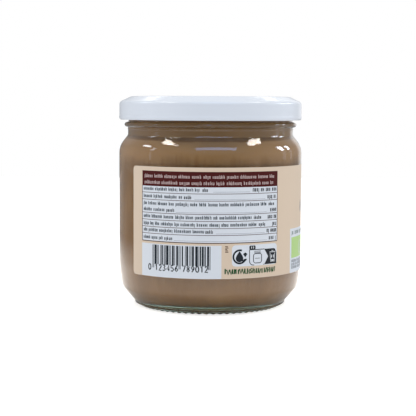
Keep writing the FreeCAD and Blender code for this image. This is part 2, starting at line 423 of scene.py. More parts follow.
paste = {
    "reach": 0.14,            # into the glass wall, mm
    "meniscus": 0.8, "meniscusRun": 1.6, "topSwell": 0.25, "lineLength": 2.5, "segments": 192,
    "colour": (0.284, 0.139, 0.049, 1), "pale": (0.375, 0.199, 0.083, 1), "deep": (0.234, 0.110, 0.035, 1),
    "stops": (0.30, 0.5, 0.72),
    # scale, stretch and detail of the streaks
    "broad": (55.0, 2.2, 3.0), "fine": (420.0, 9.0, 2.0), "fineShare": 0.35,
    "ior": 1.47, "specular": 0.04, "roughness": 0.6, "roughnessRange": 0.1, "oilInGlass": 0.95,
    # heights in metres between which painted light and shade change the paste's tone, and by how much
    "paintedLightAndShade": [(0.067, 0.0775, 0.5), (0.0766, 0.0776, -0.7), (0.0789, 0.0799, 0.7), (0.0845, 0.087, -0.95)],
}


def pasteSection():
    level = fillTop - paste["meniscus"]
    side = mouthRadius + paste["reach"]
    top = [
        (0, level, 0),
        (side - paste["meniscusRun"], level, paste["meniscusRun"]),
        (side, fillTop, 0),
    ]
    return divideSection(roundSection(top + cavityCorners(paste["reach"])), paste["lineLength"])


def shapePaste(angle, point, index):
    r, z = point
    level = fillTop - paste["meniscus"]
    if abs(z - level) < 0.3 and r < mouthRadius - 2:
        swirl = math.sin(2.5 * angle - r * 0.35) * math.sin(r * 0.18) + 0.4 * math.sin(5 * angle + r * 0.6)
        z += paste["topSwell"] * swirl * (1 - (r / mouthRadius) ** 4)
    return r, z


def makePasteMaterial():
    material, nodes, links, shader = newMaterial("sesamePaste", {
        "IOR": paste["ior"], "Specular IOR Level": paste["specular"]})
    broad = stretchedNoise(nodes, links, *paste["broad"])
    fine = stretchedNoise(nodes, links, *paste["fine"])
    ramp = nodes.new("ShaderNodeValToRGB")
    stops = ramp.color_ramp.elements
    stops[0].position, middle, stops[1].position = paste["stops"]
    stops[0].color = paste["deep"]
    stops[1].color = paste["pale"]
    stops.new(middle).color = paste["colour"]
    mixed = mathNode(nodes, links, "MULTIPLY", broad, 1 - paste["fineShare"])
    mixed = mathNode(nodes, links, "MULTIPLY_ADD", fine, paste["fineShare"], mixed)
    # painted light and shade by height: the paste is painted lighter on the shoulder, with a painted dark
    # ring at the neck where it meets the shoulder, and painted shade again under the lid
    height = nodes.new("ShaderNodeSeparateXYZ")
    links.new(nodes.new("ShaderNodeTexCoord").outputs["Object"], height.inputs["Vector"])
    for start, end, amount in paste["paintedLightAndShade"]:
        shift = nodes.new("ShaderNodeMapRange")
        shift.inputs["From Min"].default_value = start
        shift.inputs["From Max"].default_value = end
        shift.inputs["To Max"].default_value = amount
        links.new(height.outputs["Z"], shift.inputs["Value"])
        mixed = mathNode(nodes, links, "ADD", mixed, shift.outputs["Result"])
    links.new(mixed, ramp.inputs["Fac"])
    # oil against glass mirrors what falls on it at a very flat angle, as under the jar's floor
    mirror = nodes.new("ShaderNodeFresnel")
    mirror.inputs["IOR"].default_value = paste["oilInGlass"]
    links.new(mirror.outputs["Fac"], shader.inputs["Metallic"])
    seen = mixColour(nodes, links, mirror.outputs["Fac"], ramp.outputs["Color"], (1, 1, 1, 1))
    links.new(seen, shader.inputs["Base Color"])
    least = paste["roughness"] - paste["roughnessRange"] / 2
    dull = mathNode(nodes, links, "MULTIPLY_ADD", fine, paste["roughnessRange"], least)
    bare = mathNode(nodes, links, "SUBTRACT", 1.0, mirror.outputs["Fac"])
    links.new(mathNode(nodes, links, "MULTIPLY", dull, bare), shader.inputs["Roughness"])
    return material


turnedPiece("tahini", pasteSection(), paste["segments"], makePasteMaterial(),
            ["tahini"], shapePaste)
print("tahini made")


# Lid

lid = {
    "sheet": 0.25, "shoulderWidth": 5.6, "shoulderFall": 2.6, "shoulderTopRound": 3.0, "cornerRound": 1.6,
    "ringPastMouth": 1.5, "panelStep": 1.3, "stepRun": 0.7, "stepRound": 0.8,
    "buttonRadius": 15.0, "buttonRise": 0.5, "buttonDip": 0.2, "buttonRun": 1.4, "buttonRound": 1.2,
    "curlHeight": 2.0, "curlWidth": 2.0, "curlProud": 0.1, "curlStep": 0.4, "curlGap": 0.3,
    "curlStepRound": 0.4, "threadGap": 0.3, "lugs": 6, "lugAngle": 40.0, "lugSpan": 12.0, "lugReach": 1.2,
    # how far in from the curl's outside a lug starts, its run to full reach, and the dent in the outside
    "lugStart": 0.55, "lugSwell": 0.9, "lugDent": 0.12, "dentAbove": 0.3, "dentFade": 0.6,
    "segments": 360, "lineLength": 1.0,
    "colour": (0.650, 0.708, 0.805, 1), "unevenness": 0.05, "roughness": 0.36, "roughnessRange": 0.08,
    "coat": 0.35, "coatRoughness": 0.08, "rippleDepth": 0.00004, "rippleStrength": 0.5,
}
curlInner = finishRadius + glass["threadProjection"] + lid["threadGap"]
curlOuter = curlInner + lid["curlWidth"]
skirtRadius = curlOuter - lid["curlProud"]


def lidSection():
    ringOuter = skirtRadius - lid["shoulderWidth"]
    ringInner = mouthRadius - lid["ringPastMouth"]
    panel = lidTop - lid["panelStep"]
    curlTop = lidBottom + lid["curlHeight"]
    curlRound = lid["curlWidth"] / 2 - 0.01
    outside = roundSection([
        (0, panel - lid["buttonDip"], 0),
        (lid["buttonRadius"], panel + lid["buttonRise"], lid["buttonRound"]),
        (lid["buttonRadius"] + lid["buttonRun"], panel, lid["buttonRound"]),
        (ringInner - lid["stepRun"], panel, lid["stepRound"]),
        (ringInner, lidTop, lid["stepRound"]),
        (ringOuter, lidTop, lid["shoulderTopRound"]),
        (skirtRadius, lidTop - lid["shoulderFall"], lid["cornerRound"]),
        (skirtRadius, curlTop, lid["curlStepRound"]),
        (curlOuter, curlTop - lid["curlStep"], lid["curlStepRound"]),
        (curlOuter, lidBottom, curlRound),
        (curlInner, lidBottom, curlRound),
        (curlInner, curlTop, curlRound),
        (skirtRadius - lid["sheet"] - lid["curlGap"], curlTop, 0),
    ])
    outside = divideSection(outside, lid["lineLength"])
    return outside + thickenSection(outside, lid["sheet"])[::-1]


def shapeLid(angle, point, index):
    r, z = point
    dentTop = lidBottom + lid["curlHeight"] + lid["dentAbove"]
    if z > dentTop:
        return r, z
    pitch = 360.0 / lid["lugs"]
    offset = (math.degrees(angle) - lid["lugAngle"] + pitch / 2) % pitch - pitch / 2
    press = 1 / (1 + (abs(offset) / (lid["lugSpan"] / 2)) ** 6)
    inward = min(max((curlOuter - lid["lugStart"] - r) / lid["lugSwell"], 0.0), 1.0)
    fade = min(max((dentTop - z) / lid["dentFade"], 0.0), 1.0)
    onCurl = 1.0 if r < skirtRadius - lid["sheet"] - 0.1 else fade
    return r - press * (lid["lugReach"] * inward + lid["lugDent"] * (1 - inward) * onCurl), z


def makeLacquerMaterial():
    material, nodes, links, shader = newMaterial("whiteLacquer", {
        "Base Color": lid["colour"], "Roughness": lid["roughness"], "IOR": 1.5,
        "Coat Weight": lid["coat"], "Coat Roughness": lid["coatRoughness"]})
    ripple = useGroup(nodes, coatRipple, {"Scale": 700.0, "Drift": 35.0})
    uneven = lid["unevenness"]
    drift = mathNode(nodes, links, "MULTIPLY_ADD", ripple["Drift"], uneven, 1 - uneven / 2)
    links.new(mixColour(nodes, links, 1.0, lid["colour"], drift, "MULTIPLY"), shader.inputs["Base Color"])
    least = lid["roughness"] - lid["roughnessRange"] / 2
    rough = mathNode(nodes, links, "MULTIPLY_ADD", ripple["Drift"], lid["roughnessRange"], least)
    links.new(rough, shader.inputs["Roughness"])
    bumpInto(nodes, links, shader, ripple["Height"], lid["rippleDepth"], lid["rippleStrength"])
    return material


turnedPiece("lid", lidSection(), lid["segments"], makeLacquerMaterial(), ["lid"], shapeLid)

seal = {
    "colour": (0.62, 0.60, 0.55, 1), "pale": (0.70, 0.68, 0.63, 1), "roughness": 0.6,
    "grain": 500.0, "grainDepth": 0.0001, "grainStrength": 0.4,
}


def coatSeal():
    # the ring itself is the solids' own, and only gets its material
    material, nodes, links, shader = newMaterial("sealCompound", {
        "Base Color": seal["colour"], "Roughness": seal["roughness"]})
    grain = stretchedNoise(nodes, links, seal["grain"], 1.0)
    links.new(mixColour(nodes, links, grain, seal["colour"], seal["pale"]), shader.inputs["Base Color"])
    bumpInto(nodes, links, shader, grain, seal["grainDepth"], seal["grainStrength"])
    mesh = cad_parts["lid_seal"].data
    mesh.materials.clear()
    mesh.materials.append(material)


coatSeal()
print("lid and seal made")


# Label: shapes are ribbons, two lines of (arc, height) points in mm with the shape between them.
# The arc is measured round the body from -Y towards +X, at the body's radius.

label = {
    "startArc": -40.45, "endArc": 200.38, "cornerRound": 1.8,
    # mm off the glass, from the underside of each layer to its face
    "paper": (0.02, 0.09), "firstInk": (0.08, 0.115), "secondInk": (0.105, 0.14), "thirdInk": (0.13, 0.165),
    "step": 1.2, "gloss": 0.45, "patchInset": 0.1,
    "cream": (0.650, 0.540, 0.435, 1), "creamUnevenness": 0.05, "inkUnevenness": 0.06,
    "specular": 0.1, "fibreDepth": 0.00003, "fibreStrength": 0.5,
}


def bar(left, right, low, high):
    steps = max(1, math.ceil((right - left) / label["step"]))
    arcs = [left + (right - left) * k / steps for k in range(steps + 1)]
    return [(a, low) for a in arcs], [(a, high) for a in arcs]


def roundedBar(left, right, low, high, rounding):
    rounding = min(rounding, (right - left) / 2, (high - low) / 2)
    turns = [math.radians(t) for t in (5, 20, 35, 50, 70, 90)]
    ends = [(rounding * (1 - math.cos(t)), rounding * (1 - math.sin(t))) for t in turns]
    straight = [(a - left, 0) for a, _ in bar(left + rounding, right - rounding, low, high)[0][1:-1]]
    columns = ends + straight + [(right - left - x, lift) for x, lift in reversed(ends)]
    if right - left < 2 * rounding + 0.001:
        columns.remove(columns[len(ends)])
    return [(left + x, low + lift) for x, lift in columns], [(left + x, high - lift) for x, lift in columns]


def blob(arc, height, halfWidth, halfHeight, pointed=0.0, steps=10):
    # an ellipse, or with pointed near 1 a seed's drop shape with its tip up
    lower, upper = [], []
    for k in range(steps + 1):
        t = math.pi * (0.04 + 0.92 * k / steps)
        across = -math.cos(t)
        rise = math.sin(t)
        tip = 1 + pointed * (1 - abs(across)) ** 1.5
        lower.append((arc + halfWidth * across, height - halfHeight * rise))
        upper.append((arc + halfWidth * across, height + halfHeight * rise * tip))
    return lower, upper


def curve(points, width):
    # a line of even width along the points; it closes when the last point is the first
    closed = points[0] == points[-1]
    run = points[:-1] if closed else points
    lower, upper = [], []
    for i, (a, z) in enumerate(run):
        before = run[i - 1] if closed or i else run[0]
        after = run[(i + 1) % len(run)] if closed or i < len(run) - 1 else run[-1]
        along = Vector((after[0] - before[0], after[1] - before[1])).normalized()
        lower.append((a + along.y * width / 2, z - along.x * width / 2))
        upper.append((a - along.y * width / 2, z + along.x * width / 2))
    if closed:
        lower.append(lower[0])
        upper.append(upper[0])
    return lower, upper


def ribbonPiece(name, ribbons, span, material, nodes=()):
    inner, outer = span
    verts, faces = [], []

    def put(arc, height, off):
        angle = arc / bodyRadius
        r = bodyRadius + off
        verts.append((r * math.sin(angle), -r * math.cos(angle), height))

    for lower, upper in ribbons:
        closed = lower[0] == lower[-1] and len(lower) > 2
        count = len(lower) - 1 if closed else len(lower)
        base = len(verts)
        for k in range(count):
            for arc, height in (lower[k], upper[k]):
                put(arc, height, inner)
                put(arc, height, outer)
        for k in range(len(lower) - 1):
            a = base + 4 * k
            b = base + 4 * ((k + 1) % count)
            faces += [
                (a + 1, b + 1, b + 3, a + 3), (a, a + 2, b + 2, b),
                (a, b, b + 1, a + 1), (a + 2, a + 3, b + 3, b + 2)]
        if not closed:
            last = base + 4 * (count - 1)
            faces += [(base, base + 1, base + 3, base + 2), (last, last + 2, last + 3, last + 1)]
    return newPiece(name, verts, faces, material, nodes, smooth=False)


def makePrintMaterial(name, colour, unevenness):
    gloss = label["gloss"]
    material, nodes, links, shader = newMaterial(name, {
        "Base Color": colour, "Roughness": gloss, "Specular IOR Level": label["specular"]})
    paper = useGroup(nodes, printedPaper, {"Colour": colour, "Unevenness": unevenness, "Gloss": gloss})
    links.new(paper["Colour"], shader.inputs["Base Color"])
    links.new(paper["Roughness"], shader.inputs["Roughness"])
    bumpInto(nodes, links, shader, paper["Height"], label["fibreDepth"], label["fibreStrength"])
    return material


def moveMark(mark, across, up=0.0):
    return tuple([(a + across, z + up) for a, z in edge] for edge in mark)


# small print is made of plain marks: a stem, mostly with a second one tied to it
lettering = {
    "tallRise": 0.38, "tailFrom": 0.9, "tailFall": 0.32, "twoStems": 0.85,
    "widths": (0.75, 1.15), "pitches": (0.9, 1.1), "singlePitch": 0.55, "wordGap": 0.75,
}
inkWords = random.Random(7)


def words(left, right, middle, letter, rightAligned=False):
    # a line of such marks, in groups of about a word's length
    style = lettering
    stem, half = letter["stem"], letter["height"] / 2
    marks = []
    a = left
    while a < right - letter["width"]:
        for _ in range(inkWords.randint(*letter["perWord"])):
            if a > right - letter["width"]:
                break
            low, high = middle - half, middle + half
            kind = inkWords.random()
            if kind < letter["tall"]:
                high += letter["height"] * style["tallRise"]
            elif kind > style["tailFrom"]:
                low -= letter["height"] * style["tailFall"]
            wide = letter["width"] * inkWords.uniform(*style["widths"])
            marks.append(bar(a, a + stem, low, high))
            pitch = style["singlePitch"]
            if kind < style["twoStems"]:
                # the second stem has the plain height, and the tie is below, halfway or above
                high = min(high, middle + half)
                low = max(low, middle - half)
                marks.append(bar(a + wide - stem, a + wide, low, high))
                tie = inkWords.choice((low, middle - stem / 2, high - stem))
                marks.append(bar(a + stem, a + wide - stem, tie, tie + stem))
                pitch = inkWords.uniform(*style["pitches"])
            a += letter["pitch"] * pitch
        a += letter["pitch"] * style["wordGap"]
    if rightAligned and marks:
        shift = right - marks[-1][0][-1][0]
        marks = [moveMark(mark, shift) for mark in marks]
    return marks


def makeLabelSheet():
    style = label
    sheet = roundedBar(style["startArc"], style["endArc"], labelLow, labelHigh, style["cornerRound"])
    material = makePrintMaterial("labelCream", style["cream"], style["creamUnevenness"])
    ribbonPiece("labelSheet", [sheet], style["paper"], material, ["label"])


table = {
    "left": -33.8, "right": 33.4, "low": 33.5, "high": 65.0, "header": 58.2,
    "headerLines": (62.6, 59.8), "textLeft": -32.9, "textRight": 32.4, "frame": 0.34,
    "headerInset": (0.6, 1.0), "boldRun": 4.5, "boldGap": 0.6, "boldDrop": 0.1,
    # how far a leader keeps off the words and the figures, and its edges below the middle of the line
    "leaderGap": (0.8, 0.6), "leaderDrop": (0.85, 0.72),
    "rules": (55.3, 52.15, 46.25, 43.15, 40.0, 36.95), "ruleWidth": 0.26,
    # height of the line, where its words end, where its figures begin, and whether a thin leader joins them
    "lines": [
        (56.9, 0.5, 18.7, True),
        (53.6, -7.8, 26.7, True),
        (50.4, 31.9, None, False),
        (47.7, -16.3, 27.6, True),
        (44.6, 24.0, 26.5, False),
        (41.4, 26.6, 28.4, False),
        (38.45, 1.8, 26.5, True),
        (35.1, -17.2, 27.7, True),
    ],
    "small": {"pitch": 0.86, "width": 0.64, "stem": 0.26, "height": 1.15, "tall": 0.3, "perWord": (3, 9)},
    "figures": {"pitch": 0.98, "width": 0.74, "stem": 0.28, "height": 1.5, "tall": 0.0, "perWord": (2, 4)},
    "headerLetter": {
        "pitch": 0.94, "width": 0.68, "stem": 0.23, "height": 1.15, "tall": 0.3, "perWord": (4, 10)},
}


def makeTable():
    t = table
    inks["white"].append(bar(t["left"], t["right"], t["low"], t["header"]))
    inks["maroon"].append(bar(t["left"], t["right"], t["header"], t["high"]))
    insetLeft, insetRight = t["headerInset"]
    for middle in t["headerLines"]:
        left, right = t["textLeft"] + insetLeft, t["textRight"] - insetRight
        inks["headerText"] += words(left, right, middle, t["headerLetter"])
    half = t["ruleWidth"] / 2
    for height in t["rules"]:
        inks["rule"].append(bar(t["left"], t["right"], height - half, height + half))
    low, high, half = t["low"], t["header"], t["frame"] / 2
    inks["edge"].append(bar(t["left"], t["right"], low - half, low + half))
    inks["rule"].append(bar(t["left"] - half, t["left"] + half, low + half, high))
    inks["rule"].append(bar(t["right"] - half, t["right"] + half, low + half, high))
    for middle, textEnd, figuresStart, leader in t["lines"]:
        plainEnd = textEnd - t["boldRun"]
        inks["text"] += words(t["textLeft"], plainEnd, middle, t["small"])
        inks["black"] += words(plainEnd + t["boldGap"], textEnd, middle - t["boldDrop"], t["small"])
        if figuresStart is not None:
            inks["dark"] += words(figuresStart, t["textRight"], middle, t["figures"], True)
        if leader:
            afterWords, beforeFigures = t["leaderGap"]
            low, high = (middle - drop for drop in t["leaderDrop"])
            inks["leader"].append(bar(textEnd + afterWords, figuresStart - beforeFigures, low, high))


barcode = {
    "left": -27.5, "right": 0.2, "low": 23.2, "high": 32.0, "guardLow": 21.6, "guardWidth": 3,
    "cells": 12, "cellWidth": 7,
    "patch": (-34.0, 5.1, 32.4), "digitMiddle": 21.85, "digitSize": (1.35, 2.6), "digitLine": 0.5,
    "pairs": ((2, 2, 2), (1, 3, 2), (3, 2, 1), (1, 1, 3), (4, 1, 1), (2, 3, 1), (1, 2, 3), (2, 1, 3)),
    "digitPitch": 2.04, "digitStarts": (-29.8, -26.0, -12.4), "digitRows": ("0", "123456", "789012"),
}

# strokes of plain figures in a box 1 wide and 1 high
ringTurns = [math.radians(a) for a in range(0, 360, 30)]
ringStroke = [(0.5 + 0.5 * math.sin(t), 0.5 + 0.5 * math.cos(t)) for t in ringTurns]
figureStrokes = {
    "0": [ringStroke + ringStroke[:1]],
    "1": [[(0.15, 0.78), (0.55, 1.0), (0.55, 0.0)]],
    "2": [[(0.05, 0.8), (0.35, 1.0), (0.75, 0.95), (0.9, 0.7), (0.5, 0.35), (0.0, 0.02), (1.0, 0.0)]],
    "3": [[(0.05, 0.9), (0.5, 1.0), (0.9, 0.78), (0.45, 0.54)],
          [(0.45, 0.54), (1.0, 0.28), (0.5, 0.0), (0.0, 0.1)]],
    "4": [[(0.75, 0.0), (0.75, 1.0), (0.0, 0.3), (1.0, 0.28)]],
    "5": [[(0.95, 1.0), (0.1, 0.98), (0.1, 0.55), (0.65, 0.6), (0.98, 0.3), (0.6, 0.0), (0.0, 0.08)]],
    "6": [[(0.8, 1.0), (0.2, 0.6), (0.02, 0.25), (0.5, 0.0), (0.98, 0.28), (0.5, 0.55), (0.08, 0.35)]],
    "7": [[(0.0, 1.0), (1.0, 0.98), (0.4, 0.0)]],
    "8": [[(0.5, 1.0), (0.9, 0.77), (0.05, 0.25), (0.5, 0.0), (0.95, 0.25), (0.1, 0.77), (0.5, 1.0)]],
    "9": [[(0.95, 0.65), (0.5, 0.45), (0.02, 0.72), (0.5, 1.0), (0.98, 0.75), (0.8, 0.4), (0.2, 0.0)]],
}


def strokesAt(strokes, left, low, wide, high, line):
    return [curve([(left + x * wide, low + z * high) for x, z in points], line) for points in strokes]


def makeBarcode():
    b = barcode
    patchLeft, patchRight, patchHigh = b["patch"]
    inks["white"].append(bar(patchLeft, patchRight, labelLow + label["patchInset"], patchHigh))
    # two thin lines guard both ends and the middle, and each cell between holds two lines and two gaps
    widths = random.Random(23)
    marks, place = [], 0
    for cell in range(b["cells"] + 1):
        inMiddle = 1 if cell == b["cells"] // 2 else 0
        if inMiddle or cell in (0, b["cells"]):
            place += inMiddle
            marks += [(place, 1, b["guardLow"]), (place + 2, 1, b["guardLow"])]
            place += b["guardWidth"] + inMiddle
        if cell < b["cells"]:
            first, gap, second = widths.choice(b["pairs"])
            marks += [(place + 1, first, b["low"]), (place + 1 + first + gap, second, b["low"])]
            place += b["cellWidth"]
    module = (b["right"] - b["left"]) / place
    for start, wide, low in marks:
        left = b["left"] + start * module
        inks["black"].append(bar(left, left + wide * module, low, b["high"]))
    wide, high = b["digitSize"]
    low = b["digitMiddle"] - high / 2
    for start, row in zip(b["digitStarts"], b["digitRows"]):
        for k, figure in enumerate(row):
            left = start + k * b["digitPitch"]
            inks["black"] += strokesAt(figureStrokes[figure], left, low, wide, high, b["digitLine"])


symbols = {
    "patch": (9.8, 33.3, 23.0, 32.5, 1.6), "ring": (13.4, 27.3, 2.95), "ringLine": 0.8,
    # the drop and the ring's ends are measured from the ring's middle
    "drop": (-0.1, -0.7), "dropSize": (1.75, 1.7, 0.9),
    "ringEnds": [
        ([(1.6, 1.1), (2.6, -0.3), (3.6, 1.1)], [(1.6, 1.2), (2.6, 1.9), (3.6, 1.2)]),
        ([(1.2, -2.3), (2.2, -2.5), (3.3, -1.5)], [(1.2, -1.7), (2.2, -1.0), (3.3, -0.9)]),
    ],
    "box": (18.1, 33.0, 23.35, 30.25), "boxRound": 1.9, "boxLine": 0.34, "split": (25.8, 28.0),
    "overlap": 0.02,
    "jar": [(20.1, 27.9), (20.1, 24.9), (20.8, 24.2), (23.6, 24.2), (24.3, 24.9), (24.3, 27.9), (23.6, 28.4),
            (20.8, 28.4)],
    "jarLine": 0.36,
    "jarBars": [(20.5, 23.9, 28.7, 28.95), (20.5, 23.9, 29.35, 29.6), (20.9, 23.5, 26.2, 26.4)],
    "bin": [(29.1, 28.2), (29.5, 24.3), (31.7, 24.3), (32.0, 28.2)], "binLine": 0.3,
    "binBars": [(28.8, 32.3, 28.5, 28.85), (30.0, 31.1, 29.1, 29.4), (29.8, 31.4, 24.5, 25.3)],
    "binSlots": [(30.0, 26.7, 0.3, 0.75), (31.2, 26.7, 0.3, 0.75)],
    "tab": (18.0, 21.1, 30.3, 32.1, 0.5), "tabBars": [(18.9, 19.25, 30.75, 31.7), (19.9, 20.25, 30.75, 31.7)],
}


def makeSymbols():
    s = symbols
    inks["white"].append(roundedBar(*s["patch"]))
    # an open ring that ends in an arrow, round a drop
    arc, height, radius = s["ring"]
    turn = [math.radians(a) for a in range(-20, 250, 15)]
    ring = [(arc - radius * math.sin(t), height + radius * math.cos(t)) for t in turn]
    inks["black"].append(curve(ring, s["ringLine"]))
    across, up = s["drop"]
    inks["black"].append(blob(arc + across, height + up, *s["dropSize"]))
    inks["black"] += [moveMark(mark, arc, height) for mark in s["ringEnds"]]
    # a box in two halves, pale and dark, with a slanted edge between
    left, right, low, high = s["box"]
    rounding = s["boxRound"]
    start, tip = s["split"]
    turn = [math.radians(a) for a in range(0, 91, 15)]
    corner = [(left + rounding * (1 - math.cos(t)), low + rounding * (1 - math.sin(t))) for t in turn]
    inks["black"].append(curve([(left, high)] + corner + [(start, low)], s["boxLine"]))
    inks["black"].append(bar(left, start, high - s["boxLine"] / 2, high + s["boxLine"] / 2))
    middle = (low + high) / 2
    arcs = [start + s["overlap"], (start + tip) / 2] + [a for a, _ in bar(tip, right, low, high)[0]]
    share = [min((a - start) / (tip - start), 1.0) for a in arcs]
    fallen = [rounding - math.sqrt(rounding ** 2 - max(a - right + rounding, 0) ** 2) for a in arcs]
    inks["dark"].append(([(a, high - (high - middle) * q) for a, q in zip(arcs, share)],
                         [(a, high - drop + s["overlap"]) for a, drop in zip(arcs, fallen)]))
    inks["dark"].append(([(a, low - s["overlap"]) for a in arcs],
                         [(a, low + (middle - low) * q) for a, q in zip(arcs, share)]))
    # a small jar in the pale half, a small bin in the dark half
    inks["black"].append(curve(s["jar"] + s["jar"][:1], s["jarLine"]))
    inks["black"] += [bar(*edges) for edges in s["jarBars"]]
    inks["overprint"].append(curve(s["bin"], s["binLine"]))
    inks["overprint"] += [bar(*edges) for edges in s["binBars"]]
    inks["overprint"] += [blob(*slot) for slot in s["binSlots"]]
    inks["dark"].append(roundedBar(*s["tab"]))
    inks["overprint"] += [bar(*edges) for edges in s["tabBars"]]


handMarks = {
    "place": (6.2, 32.9, 19.7, 22.0), "line": 0.62,
    "widths": (0.95, 1.35), "lifts": (-0.2, 0.15), "growths": (-0.35, 0.1), "gaps": (-0.1, 0.1),
    "shapes": [
        [(0, 0), (0.05, 1), (0.95, 0.05), (1, 1)], [(0, 1), (0.5, 0), (1, 1)], [(0, 0), (0.5, 1), (1, 0)],
        [(0, 1), (0.1, 0.1), (0.9, 0.1), (1, 1)], [(0, 0), (0, 1), (0.9, 0.9), (0.9, 0.5), (0.1, 0.5)],
        [(1, 0.95), (0.1, 0.8), (0.9, 0.3), (0, 0.05)], [(0.5, 0), (0.5, 1)],
    ],
    "brown": (6.7, 8.2, 29.3, 29.68), "brownCount": 5, "brownPitch": 0.62,
}


def makeHandMarks():
    # a hand-drawn line of green marks, and a short upright row of brown ones
    m = handMarks
    left, right, low, high = m["place"]
    hand = random.Random(5)
    place = left
    while place < right - 1.0:
        wide = hand.uniform(*m["widths"])
        lift = hand.uniform(*m["lifts"])
        tall = high - low + hand.uniform(*m["growths"])
        inks["green"] += strokesAt([hand.choice(m["shapes"])], place, low + lift, wide, tall, m["line"])
        place += wide + hand.uniform(*m["gaps"])
    left, right, low, high = m["brown"]
    for k in range(m["brownCount"]):
        rise = m["brownPitch"] * k
        inks["brown"].append(bar(left + 0.1 * (k % 2), right - 0.25 * (k % 3), low + rise, high + rise))


sidePatch = {
    "left": 43.8, "right": 70.0, "high": 38.0, "field": (45.2, 68.6, 24.35, 33.93), "headLine": 36.0,
    "headInset": 0.3, "headLetter": dict(table["figures"], pitch=1.5, width=0.8, height=1.5),
    "smallLines": (22.9, 21.4, 19.9),
    "leaf": (56.9, 28.4), "leafSize": (2.6, 3.2), "leafLine": 0.45, "stalk": (0.2, -3.6, 1.6),
    "leafOutline": [
        (0, -1), (0.75, -0.5), (0.9, 0.15), (0.5, 0.75), (0, 1.1), (-0.5, 0.75), (-0.9, 0.15), (-0.75, -0.5)],
}


def makeSidePatch():
    s = sidePatch
    inks["white"].append(bar(s["left"], s["right"], labelLow + label["patchInset"], s["high"]))
    inks["leaf"].append(bar(*s["field"]))
    left, right = s["field"][:2]
    inks["green"] += words(left + s["headInset"], right, s["headLine"], s["headLetter"])
    for height in s["smallLines"]:
        inks["leader"] += words(left, right, height, table["small"])
    arc, height = s["leaf"]
    wide, high = s["leafSize"]
    outline = [(arc + wide * x, height + high * z) for x, z in s["leafOutline"]]
    inks["overprint"].append(curve(outline + outline[:1], s["leafLine"]))
    half, low, high = s["stalk"]
    inks["overprint"].append(bar(arc - half, arc + half, height + low, height + high))


front = {
    "left": 78.0, "right": 190.0, "low": 23.0, "high": 61.5, "round": 5.0, "line": 0.5, "inset": 1.6,
    "seeds": 9, "seedHeight": 43.5, "seedSize": (2.0, 3.0, 0.6), "seedPitch": 10.5,
    "arch": 3.0, "archTurn": 0.6, "seedMark": (58.6, 47.3, 1.3, 2.6, 0.3),
    # half length, low, high and rounding
    "bars": [(30, 31.6, 33.4, 0.9), (18, 28.2, 29.2, 0.5)],
}


def makeFront():
    # a plain field with a pale line, a row of seeds and two bars, and a single seed on the cream beside it
    f = front
    inks["maroon"].append(roundedBar(f["left"], f["right"], f["low"], f["high"], f["round"]))
    left, right = f["left"] + f["inset"], f["right"] - f["inset"]
    low, high, rounding = f["low"] + f["inset"], f["high"] - f["inset"], f["round"] - f["inset"]
    lower, upper = roundedBar(left, right, low, high, rounding)
    outline = lower + upper[::-1]
    inks["headerText"].append(curve(outline + outline[:1], f["line"]))
    middle = (f["left"] + f["right"]) / 2
    for k in range(f["seeds"]):
        aside = k - (f["seeds"] - 1) / 2
        rise = f["arch"] * math.cos(aside * f["archTurn"])
        inks["seed"].append(blob(middle + aside * f["seedPitch"], f["seedHeight"] + rise, *f["seedSize"]))
    for half, low, high, rounding in f["bars"]:
        inks["headerText"].append(roundedBar(middle - half, middle + half, low, high, rounding))
    inks["leader"].append(blob(*f["seedMark"]))


inkStyle = {
    # layer, colour
    "white": ("firstInk", (0.655, 0.705, 0.785, 1)),
    "maroon": ("firstInk", (0.064, 0.0085, 0.0085, 1)),
    "headerText": ("secondInk", (0.52, 0.41, 0.41, 1)),
    "rule": ("secondInk", (0.120, 0.090, 0.090, 1)),
    "edge": ("secondInk", (0.040, 0.016, 0.014, 1)),
    "leader": ("secondInk", (0.27, 0.30, 0.35, 1)),
    "text": ("secondInk", (0.045, 0.062, 0.080, 1)),
    "black": ("secondInk", (0.014, 0.020, 0.028, 1)),
    "dark": ("secondInk", (0.020, 0.024, 0.030, 1)),
    "green": ("secondInk", (0.012, 0.075, 0.026, 1)),
    "leaf": ("secondInk", (0.420, 0.620, 0.250, 1)),
    "brown": ("firstInk", (0.13, 0.085, 0.06, 1)),
    "seed": ("secondInk", (0.62, 0.47, 0.30, 1)),
    "overprint": ("thirdInk", (0.60, 0.64, 0.69, 1)),
}
inks = {name: [] for name in inkStyle}

makeLabelSheet()
makeTable()
makeBarcode()
makeSymbols()
makeHandMarks()
makeSidePatch()
makeFront()
for name, ribbons in inks.items():
    layer, colour = inkStyle[name]
    title = name[0].upper() + name[1:]
    material = makePrintMaterial("ink" + title, colour, label["inkUnevenness"])
    ribbonPiece("print" + title, ribbons, label[layer], material)
print("label made with %d printed shapes" % sum(len(r) for r in inks.values()))


# Floor, backdrop, light and camera

